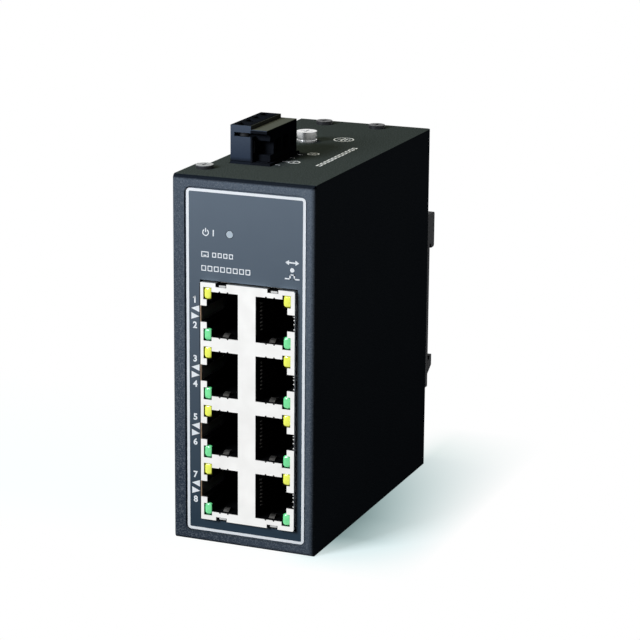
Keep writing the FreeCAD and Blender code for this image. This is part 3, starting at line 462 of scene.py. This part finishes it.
def nickel(place):
    cloud = noise(place, 220, 4.0)
    # Painted shade: the shield's left wall and its rim are painted near black.
    rim = 1 - along(place, 0).above((sockets_low.x + SHIELD_SHADE_RIM) * MM, 0.04 * MM)
    drawn = place.node("ShaderNodeMapping", {"Vector": place, "Scale": (60, 1, 1)})
    scratches = noise(drawn, 260, 2.0)
    plate = cloud.tint((0.80, 0.80, 0.79), (0.90, 0.90, 0.885))
    return {
        "Base Color": rim.tint_over(plate, (0.01, 0.01, 0.012)),
        "Roughness": 0.26 + 0.16 * cloud,
        "Normal": bump(scratches, 0.01 * MM, 0.25),
    }


dress(paint("nickel_shield", nickel, Metallic=1.0), "jack_shield")


# Inside the shield a black nylon moulding holds the eight cavities, and a contact carrier is
# pushed in behind it. The holder of the power lamp is moulded in the same black.

def moulded_black(place):
    grain = noise(place, 3000, 2.0)
    flow = noise(place, 120, 3.0)
    return {
        "Base Color": flow.tint((0.0025, 0.0025, 0.003), (0.006, 0.006, 0.0065)),
        "Roughness": 0.42 + 0.2 * grain,
        "Normal": bump(grain, 0.02 * MM, 0.3),
    }


black_moulding = paint("socket_black", moulded_black, Specular_IOR_Level=0.0)
dress(black_moulding, "jack_housing", "jack_insert", "led_holder")


# The shield is stamped as it is folded: two relief nicks stand over and under each socket, and
# show the black moulding behind.

block_x = (sockets_low.x + sockets_high.x) / 2
shield_face = sockets_low.y
MARK_RISE = 0.02
SOCKET_HALF = 6.15
NICKS_OUT = (5.45, 7.75)
NICK_DEEP = 0.3
NICK_HALF_MOUTH = 0.28
NICK_HALF_TIP = 0.16
nicks = []
for side in (-1, 1):
    for row in rows:
        for end in (-1, 1):
            mouth = row + end * (SOCKET_HALF - MARK_RISE)
            tip = mouth + end * NICK_DEEP
            for x in (block_x + side * out for out in NICKS_OUT):
                nicks.append([
                    (x - NICK_HALF_MOUTH, mouth), (x + NICK_HALF_MOUTH, mouth),
                    (x + NICK_HALF_TIP, tip), (x - NICK_HALF_TIP, tip),
                ])
marks = (shield_face, shield_face - MARK_RISE)
piece("shield_nicks", stamp(nicks, on_front, *marks), black_moulding)


# Between each two nicks a sprung finger of the shield curls into the socket, where it grips the
# plug's own shield. The fingers are bent from the same sheet, and painted shade makes them a dull grey.

def shaded_spring(place):
    # Painted shade: the fingers are far darker than the shield's nickel, for the shade inside the sockets.
    cloud = noise(place, 900, 4.0)
    return {
        "Base Color": cloud.tint((0.06, 0.058, 0.055), (0.22, 0.212, 0.20)),
        "Roughness": 0.35 + 0.25 * cloud,
    }


FINGER_HALF = 0.8
FINGER_GAUGE = 0.12
# How far back each point of the finger's curl lies, and how far it rises off the wall.
CURL = [(1.3, 0.1), (1.9, 0.5), (2.5, 0.78), (3.1, 0.82), (3.8, 0.5), (4.3, 0.15)]
finger = CURL + [(run, rise - FINGER_GAUGE) for run, rise in reversed(CURL)]


def off_wall(wall, end):
    """Where a finger's points go: run back from the shield's face and rise off a socket's wall."""
    def lay(run, rise, across):
        return across, shield_face + run, wall - end * (rise + MARK_RISE)
    return lay


fingers = bmesh.new()
for side in (-1, 1):
    finger_x = block_x + side * sum(NICKS_OUT) / 2
    for row in rows:
        for end in (-1, 1):
            lay = off_wall(row + end * SOCKET_HALF, end)
            extrude(finger, lay, finger_x - FINGER_HALF, finger_x + FINGER_HALF, fingers)
spring_strip = paint("spring_strip", shaded_spring, Metallic=1.0)
piece("shield_fingers", finished(fingers), spring_strip)


# Four small latches hold the shield's folds together. They are tinned tongues, set back a little
# in the notches of its upper and lower rims.

def pale_tin(place):
    cloud = noise(place, 900, 4.0)
    return {
        "Base Color": cloud.tint((0.48, 0.47, 0.45), (0.68, 0.67, 0.64)),
        "Roughness": 0.45 + 0.25 * cloud,
    }


LATCH_OUT = 7.35
LATCH_ASIDE = 0.35
LATCH_HALF = 0.95
LATCH_OFF_RIM = (0.92, 0.42)
LATCH_CORNER = 0.2
LATCH_DEPTHS = (0.1, 0.29)
latches = bmesh.new()
for side in (-1, 1):
    latch_x = block_x + side * LATCH_OUT + LATCH_ASIDE
    for end, rim in ((1, sockets_high.z), (-1, sockets_low.z)):
        upright = sorted(rim - end * off for off in LATCH_OFF_RIM)
        tongue = rounded((latch_x - LATCH_HALF, latch_x + LATCH_HALF), upright, LATCH_CORNER)
        extrude(tongue, on_front, *(shield_face + deep for deep in LATCH_DEPTHS), latches)
piece("shield_latches", finished(latches), paint("pale_tin", pale_tin, Metallic=0.3))


# The slots for the plugs' tongues cut through the shield's outer rims. On the left the sheet's
# cut edge shows bare, the colour of copper, and on the right it is broken by short black gaps.

def copper_edge(place):
    cloud = noise(place, 1500, 3.0)
    return {
        "Base Color": cloud.tint((0.16, 0.095, 0.050), (0.38, 0.25, 0.145)),
        "Roughness": 0.4 + 0.2 * cloud,
    }


SLOT_HALF = 2.2
# Each gap's lower and upper end, from the middle of its row.
SLOT_GAPS = ((-2.2, -1.75), (-1.45, -0.35), (-0.05, 0.75), (1.05, 1.6), (1.85, 2.2))
left_rim = (sockets_low.x + 0.27, sockets_low.x + 0.5)
right_rim = (sockets_high.x - 0.3, sockets_high.x - 0.02)
edges = [bar(*left_rim, row - SLOT_HALF, row + SLOT_HALF) for row in rows]
gaps = [bar(*right_rim, row + low, row + high) for row in rows for low, high in SLOT_GAPS]
copper = paint("copper_edge", copper_edge, Metallic=0.6)
piece("slot_edges", stamp(edges, on_front, *marks), copper)
piece("slot_gaps", stamp(gaps, on_front, *marks), black_moulding)


# Eight spring wires lean into each socket from the carrier behind. They are bronze with a flash
# of gold; their front ends catch the light, and farther in painted shade makes them nearly black.

PAINTED_SHADE_DEPTH = 3.9


def gold_wire(place):
    flash = noise(place, 1500, 3.0)
    # Painted shade: behind their front ends the wires are painted nearly black.
    tip = 1 - along(place, 1).above((shield_face + PAINTED_SHADE_DEPTH) * MM, 0.3 * MM)
    return {
        "Base Color": tip.tint((0.012, 0.010, 0.008), (0.62, 0.60, 0.55)),
        "Roughness": 0.30 + 0.2 * flash,
    }


dress(paint("contact_gold", gold_wire, Metallic=1.0), "jack_contacts")


# Each socket has two lamps of clear tinted resin, yellow above and green below. They are blocks
# with rounded corners whose faces swell a little, set in wells of the moulding. The power lamp
# on the front is a small round one, of water-clear resin.

def lens(dark, bright):
    """Resin tinted in clouds, with a painted glow in its own colour."""
    def draw(place):
        cloud = noise(place, 700, 2.0)
        resin = (0.55 * cloud + 0.45 * noise(place, 260, 1.0)).tint(dark, bright)
        return {"Base Color": resin, "Emission Color": resin, "Roughness": 0.10 + 0.12 * cloud}
    return draw


yellow_lens = lens((0.66, 0.70, 0.04), (0.92, 0.96, 0.10))
green_lens = lens((0.05, 0.50, 0.20), (0.24, 0.92, 0.34))
clear_lens = lens((0.34, 0.42, 0.48), (0.54, 0.62, 0.68))
# Painted glow: the emission makes each lamp's resin brighter than the lamps' light alone would.
yellow = paint("lamp_yellow", yellow_lens, Emission_Strength=0.3, Coat_Weight=0.8)
green = paint("lamp_green", green_lens, Emission_Strength=0.26, Coat_Weight=0.8)
clear = paint("lamp_clear", clear_lens, Emission_Strength=0.05, Coat_Weight=0.8)
dress(clear, "power_led")

LENS_OUT = (10.08, 12.42)
LENS_OFF_ROW = (3.94, 7.22)
LENS_CORNER = 0.92
# How far each loop of a lens is drawn in, and how deep it lies behind the shield's face.
LENS_CROWN = ((0.0, 0.98), (0.0, 0.85), (0.12, 0.55), (0.34, 0.34), (0.62, 0.26))


def lens_loops(x, z):
    """The loops of one lens, from its back to the middle of its crowned face."""
    loops = []
    for by, deep in LENS_CROWN:
        around = rounded(inset(x, by), inset(z, by), LENS_CORNER - by)
        loops.append([(u, shield_face + deep, v) for u, v in around])
    return loops


for colour, end, resin in (("yellow", 1, yellow), ("green", -1, green)):
    lenses = bmesh.new()
    for side in (-1, 1):
        across = sorted(block_x + side * out for out in LENS_OUT)
        for row in rows:
            skin(lens_loops(across, sorted(row + end * off for off in LENS_OFF_ROW)), lenses)
    block = piece(f"link_lenses_{colour}", finished(lenses, smooth=True), resin)
    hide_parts(f"link_leds_{colour}")


# On the top a four-pole plug stands in its header, both moulded in black. Painted light makes its
# front paler and bluer upwards, with painted shade at its foot, and makes the cap over its wire
# funnels a pale grey; the rest is nearly black.

plug_low, plug_high = box_of("terminal_plug")
PLUG_FRONT = 0.15
PLUG_WIRE_SIDE = 5.8
PLUG_CAP = 1.15
# The height of the painted shade at the front's foot, then where the front's painted light begins to rise
# and over what height.
PLUG_SHADE_FOOT = 1.3
PLUG_LIGHT_FOOT = 0.2
PLUG_LIGHT_TALL = 12


def terminal(place):
    grain = noise(place, 2200, 2.0)
    flow = noise(place, 90, 3.0)
    x, y, z = (along(place, axis) for axis in range(3))
    front = 1 - y.above((plug_low.y + PLUG_FRONT) * MM, 0.1 * MM)
    wire_side = x.above((plug_low.x + PLUG_WIRE_SIDE) * MM, 0.1 * MM)
    cap = z.above((plug_high.z - PLUG_CAP) * MM, 0.1 * MM)
    # Painted shade: the front darkens towards its foot.
    foot = 1 - z.above((case_high.z + PLUG_SHADE_FOOT) * MM, 0.5 * MM)
    dark = flow.tint((0.006, 0.007, 0.010), (0.012, 0.014, 0.018))
    # Painted light: the top of the cap over the wire funnels is a paler grey.
    painted_light_top = grain.tint((0.095, 0.10, 0.085), (0.145, 0.152, 0.128))
    # Painted light: the front's colour grows paler and bluer upwards.
    climb = (z - (case_high.z + PLUG_LIGHT_FOOT) * MM) * (1 / (PLUG_LIGHT_TALL * MM))
    moulded = (climb + 0.2 * grain).tint((0.020, 0.030, 0.052), (0.072, 0.090, 0.122))
    painted_light_front = (front * (1 - wire_side * (1 - cap)) * (1 - 0.8 * foot)).mixed(dark, moulded)
    return {
        "Base Color": (wire_side * cap * (1 - front)).mixed(painted_light_front, painted_light_top),
        "Roughness": 0.42 + 0.16 * grain,
        "Normal": bump(grain, 0.02 * MM, 0.3),
    }


dress(paint("terminal_black", terminal, Specular_IOR_Level=0.0), "terminal_header", "terminal_plug")


# Steel clamps and their screws hold the wires in the plug, one of each to a pole. Deep in their
# wells they are painted nearly black as painted shade, with a dull finish.

def shaded_steel(place):
    # Painted shade: the steel is painted nearly black for the shade deep in the wells.
    cloud = noise(place, 600, 4.0)
    return {
        "Base Color": cloud.tint((0.010, 0.011, 0.013), (0.030, 0.032, 0.036)),
        "Roughness": 0.5 + 0.2 * cloud,
    }


dress(paint("shaded_steel", shaded_steel, Metallic=0.5), "plug_clamps", "plug_screws")


# The earth screw stands behind the plug on a lock washer and a plain one, with a nut inside the
# case, all of zinc-plated steel. The board's and the clip's fixings are plated alike, and the
# header's pins are about as bright.

def bright_zinc(place):
    cloud = noise(place, 500, 4.0)
    return {
        "Base Color": cloud.tint((0.66, 0.67, 0.68), (0.86, 0.86, 0.85)),
        "Roughness": 0.22 + 0.2 * cloud,
        "Normal": bump(cloud, 0.02 * MM, 0.4),
    }


zinc = paint("zinc_plate", bright_zinc, Metallic=1.0)
dress(zinc, "ground_screw", "lock_washer", "ground_washer", "ground_nut")
dress(zinc, "board_standoffs", "board_screws", "bracket_screws", "header_pins")


# Beside the plug the top is printed with small white signs: the numbers of the poles, their
# polarity, an earth sign by its screw and a row of little boxes. They read from the right.

def on_top(x, y, z):
    """Outlines on the top lie flat, x to the right and y to the back."""
    return x, y, z


def turned(shapes, x, y):
    """Figures drawn about the origin, turned to read from the right and set at (x, y)."""
    return [[(x - v, y + u) for u, v in outline] for outline in shapes]


POLES = 4
POLE_DIGIT_TALL = 1.5
POLE_DIGIT_BOLD = 0.03
pole_digits_x = plug_high.x + 2.0
poles = [plug_low.y + (plug_high.y - plug_low.y) * (i + 0.5) / POLES for i in range(POLES)]
pole_numbers = []
for index, y in enumerate(poles):
    digit = figures(str(index + 1), 0, 0, POLE_DIGIT_TALL, POLE_DIGIT_BOLD)
    pole_numbers += turned(digit, pole_digits_x, y)

STROKE_HALF = 0.8
STROKE_HALF_LINE = 0.17
MINUS_X = 3.1
PLUS_X = 3.5
PLUS_BEYOND = 2.4
stroke = bar(-STROKE_HALF, STROKE_HALF, -STROKE_HALF_LINE, STROKE_HALF_LINE)
crossing = bar(-STROKE_HALF_LINE, STROKE_HALF_LINE, -STROKE_HALF, STROKE_HALF)
circle = band((0, 0), 1.7, 1.36, 0, 360, 24)
polarity = turned([stroke, *circle], MINUS_X, poles[1])
polarity += turned([stroke, crossing, *circle], PLUS_X, poles[3] + PLUS_BEYOND)

BOX_WIDTHS = (2.0, 1.5, 1.8)
BOX_TALL = 1.5
BOX_LINE = 0.36
BOX_STEP = 2.55
BOXES_X = 10.85
FIRST_BOX_Y = -18.4
row_of_boxes = []
for i in range(11):
    width = BOX_WIDTHS[i % len(BOX_WIDTHS)]
    box = small_box(-width / 2, -BOX_TALL / 2, width, BOX_TALL, BOX_LINE)
    row_of_boxes += turned(box, BOXES_X, FIRST_BOX_Y + BOX_STEP * i)

# The level of each bar of the earth sign, and half its length.
EARTH_BARS = ((0.0, 1.9), (-0.95, 1.25), (-1.9, 0.6))
EARTH_HALF_LINE = 0.19
EARTH_PLACE = (3.2, 18.0)
earth = [bar(-half, half, level - EARTH_HALF_LINE, level + EARTH_HALF_LINE) for level, half in EARTH_BARS]
earth.append(bar(-EARTH_HALF_LINE, EARTH_HALF_LINE, 0.0, 1.7))
earth += band((0, -0.2), 2.9, 2.56, 0, 360, 28)
earth = turned(earth, *EARTH_PLACE)

for name, shapes in (
    ("pole_numbers", pole_numbers), ("polarity_signs", polarity),
    ("row_of_boxes", row_of_boxes), ("earth_sign", earth),
):
    piece(name, stamp(shapes, on_top, case_high.z, case_high.z + INK_RISE), ink)


# Pan-head screws, chemically blacked, hold the side plate to the top, and countersunk ones hold
# it below. A painted highlight makes the top of the head nearest the front pale grey.

HEAD_TOP = 0.95


def blacked(place):
    cloud = noise(place, 700, 4.0)
    # Painted highlight: the top of the head in front is painted pale grey.
    behind = along(place, 1).above(0, MM)
    painted_highlight = along(place, 2).above((case_high.z + HEAD_TOP) * MM, 0.25 * MM) * (1 - behind)
    black = cloud.tint((0.010, 0.011, 0.013), (0.030, 0.032, 0.036))
    return {
        "Base Color": painted_highlight.tint_over(black, (0.58, 0.59, 0.60)),
        "Roughness": 0.34 + 0.2 * cloud,
    }


dress(paint("black_screw", blacked, Metallic=0.4), "case_screws", "floor_screws")


# Inside, a board of woven glass and resin under a green mask stands upright on posts from the
# side plate, and carries the sockets, the chips and the supply.

def board_mask(place):
    weave = noise(place, 1400, 2.0)
    return {
        "Base Color": weave.tint((0.010, 0.075, 0.038), (0.018, 0.115, 0.060)),
        "Roughness": 0.34 + 0.15 * weave,
    }


dress(paint("board_green", board_mask), "main_board")


# The chips, the sockets' transformers, the choke, the fuse and the rectifier are potted in matt
# black resin and soldered to the board.

def potted_black(place):
    grain = noise(place, 3500, 2.0)
    return {
        "Base Color": grain.tint((0.012, 0.012, 0.013), (0.030, 0.030, 0.031)),
        "Roughness": 0.55 + 0.2 * grain,
    }


packages = paint("chip_black", potted_black)
dress(packages, "switch_chip", "port_transformers", "config_memory")
dress(packages, "power_inductor", "input_fuse", "rectifier")


# The crystal and the smoothing capacitors are in cans of drawn aluminium. Their leads go through
# the board and are soldered behind it.

def drawn_can(place):
    cloud = noise(place, 400, 4.0)
    return {
        "Base Color": cloud.tint((0.62, 0.63, 0.64), (0.78, 0.78, 0.78)),
        "Roughness": 0.28 + 0.2 * cloud,
    }


dress(paint("can_metal", drawn_can, Metallic=1.0), "crystal", "smoothing_capacitors")


# Behind, a bracket moulded in black nylon is screwed to the case and hooks over a rail's upper
# edge. The foot that slides in it catches the lower edge, and is pulled down to let go.

def clip_nylon(place):
    grain = noise(place, 1800, 3.0)
    flow = noise(place, 70, 3.0)
    return {
        "Base Color": flow.tint((0.014, 0.016, 0.020), (0.030, 0.033, 0.038)),
        "Roughness": 0.46 + 0.18 * grain,
        "Normal": bump(grain, 0.03 * MM, 0.4),
    }


dress(paint("clip_plastic", clip_nylon, Specular_IOR_Level=0.06), "din_bracket", "din_latch")


# A little coil of drawn steel wire stands on the bracket's post and pushes the foot up. Here it
# is a fixed coil at its full length, and does not shorten with the foot.

def spring_wire(place):
    cloud = noise(place, 900, 3.0)
    return {
        "Base Color": cloud.tint((0.45, 0.45, 0.46), (0.66, 0.66, 0.66)),
        "Roughness": 0.25 + 0.15 * cloud,
    }


coil_low, coil_high = box_of("latch_spring")
coil_x, coil_y, _ = (coil_low + coil_high) / 2
coil_tall = coil_high.z - coil_low.z
WIRE_RADIUS = 0.2
COIL_RADIUS = 1.15
COIL_PITCH = 1.9
ROUND_COIL = 28
ROUND_WIRE = 10
climb = coil_tall - 2 * WIRE_RADIUS
steps = round(climb / COIL_PITCH) * ROUND_COIL
loops = []
for i in range(steps + 1):
    angle = 2 * pi * i / ROUND_COIL
    level = coil_low.z + WIRE_RADIUS + climb * i / steps
    loop = []
    for k in range(ROUND_WIRE):
        around = 2 * pi * k / ROUND_WIRE
        reach = COIL_RADIUS + WIRE_RADIUS * cos(around)
        rise = WIRE_RADIUS * sin(around)
        loop.append((coil_x + reach * cos(angle), coil_y + reach * sin(angle), level + rise))
    loops.append(loop)
wound = bmesh.new()
skin(loops, wound)
drawn_steel = paint("spring_steel", spring_wire, Metallic=1.0)
spring = piece("latch_coil", finished(wound, smooth=True), drawn_steel)
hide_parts("latch_spring")

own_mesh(spring)


# The stage is a white floor under a white world. To the object's right a painted shadow, tinted
# cyan, darkens it where the lamps' shadow also falls, and farther out it goes over to plain white.

FLOOR_HALF = 6.0
FLOOR_GLOW = 0.26
FLOOR_COLOUR = (0.8265, 0.95, 0.95)
BOUNCE_CUT = 0.9
SHADOW_COLOUR = (0.70, 1.0, 1.0)
SHADE_ON_LEFT = 0.08
# Where each edge of the painted shadow's ground lies, and how far it blurs to each side, in metres.
SHADOW_LEFT = (0.015, 0.005)
SHADOW_RIGHT = (0.034, 0.015)
SHADOW_FRONT = (-0.039, 0.014)
SHADOW_BACK = (0.036, 0.044)


def looked_at(rays):
    """A mask for what is seen directly, in metal or through glass."""
    return rays.beside("Is Camera Ray") + rays.beside("Is Glossy Ray") + rays.beside("Is Transmission Ray")


def white_floor(name):
    """A white surface with a painted shadow: it glows only a little, tinted cyan, where the object's shadow
    falls, and fully farther out.
    """
    material = bpy.data.materials.new(name)
    material.use_nodes = True
    tree = material.node_tree
    tree.nodes.clear()
    start = Wire(tree)
    place = start.node("ShaderNodeTexCoord", out="Object")
    x, y = (along(place, axis) for axis in range(2))
    # Painted shadow: beside the object's right the floor's glow drops and turns cyan.
    near = 1 - x.above(*SHADOW_RIGHT)
    beside_case = SHADE_ON_LEFT + (1 - SHADE_ON_LEFT) * x.above(*SHADOW_LEFT)
    along_case = y.above(*SHADOW_FRONT) * (1 - y.above(*SHADOW_BACK))
    far = 1 - near * beside_case * along_case
    rays = start.node("ShaderNodeLightPath")
    bounce = 1 - BOUNCE_CUT * rays.beside("Is Diffuse Ray")
    grey = (bounce * (1 - far)).tint((0, 0, 0), FLOOR_COLOUR)
    matt = start.node("ShaderNodeBsdfDiffuse", {"Color": grey})
    colour = far.tint(SHADOW_COLOUR, (1, 1, 1))
    strength = looked_at(rays) * (FLOOR_GLOW + (1 - FLOOR_GLOW) * far)
    glow = start.node("ShaderNodeEmission", {"Color": colour, "Strength": strength})
    both = start.node("ShaderNodeAddShader", {0: matt, 1: glow})
    output = tree.nodes.new("ShaderNodeOutputMaterial")
    tree.links.new(both.socket, output.inputs["Surface"])
    return material


floor_mesh = bpy.data.meshes.new("floor")
floor_corners = bar(-FLOOR_HALF, FLOOR_HALF, -FLOOR_HALF, FLOOR_HALF)
floor_mesh.from_pydata([(x, y, 0) for x, y in floor_corners], [], [(0, 1, 2, 3)])
floor = bpy.data.objects.new("floor", floor_mesh)
bpy.context.scene.collection.objects.link(floor)
floor.data.materials.append(white_floor("white_floor"))

WORLD_GLOW = 0.05
world = bpy.data.worlds.new("studio")
bpy.context.scene.world = world
world.use_nodes = True
background = world.node_tree.nodes["Background"]
background.inputs["Color"].default_value = (1, 1, 1, 1)
sky = looked_at(Wire(world.node_tree).node("ShaderNodeLightPath"))
world.node_tree.links.new(((1 - WORLD_GLOW) * sky + WORLD_GLOW).socket, background.inputs["Strength"])


# Two soft lamps light the object: a key lamp from the front left, and a weaker, warmer one high
# over the left side.

def lamp(name, place, target, size, power, colour):
    """A square soft lamp at a place, turned towards a target."""
    light = bpy.data.lights.new(name, "AREA")
    light.shape = "SQUARE"
    light.size = size
    light.energy = power
    light.color = colour
    holder = bpy.data.objects.new(name, light)
    bpy.context.scene.collection.objects.link(holder)
    holder.location = place
    holder.rotation_euler = (Vector(target) - Vector(place)).to_track_quat("-Z", "Y").to_euler()


lamp(
    "key", place=(-0.31, -0.52, 0.36), target=(0, -0.04, 0.09), size=0.24, power=4.6,
    colour=(0.94, 0.99, 1.06),
)
lamp(
    "top", place=(-0.44, 0.02, 1.05), target=(0, 0, 0.05), size=0.4, power=3.6,
    colour=(1.0, 1.0, 0.72),
)


# The camera stands in front and to the right, a little above the object, and looks slightly
# down. Its long lens keeps the upright edges nearly parallel.

CAMERA_AZIMUTH = 22.94
CAMERA_DOWN = 14.165
CAMERA_ROLL = 0.205
camera_data = bpy.data.cameras.new("camera")
camera_data.sensor_width = 36
camera_data.lens = 139.87
camera_data.shift_x = 0.0663
camera_data.shift_y = -0.0510
camera_data.clip_start = 0.01
camera = bpy.data.objects.new("camera", camera_data)
bpy.context.scene.collection.objects.link(camera)
camera.location = (0.25218, -0.61675, 0.22952)
aim = Euler((radians(90 - CAMERA_DOWN), 0, radians(CAMERA_AZIMUTH))).to_matrix()
camera.rotation_euler = (aim @ Matrix.Rotation(radians(CAMERA_ROLL), 3, "Z")).to_euler()
bpy.context.scene.camera = camera
bpy.context.scene.view_settings.view_transform = "Standard"
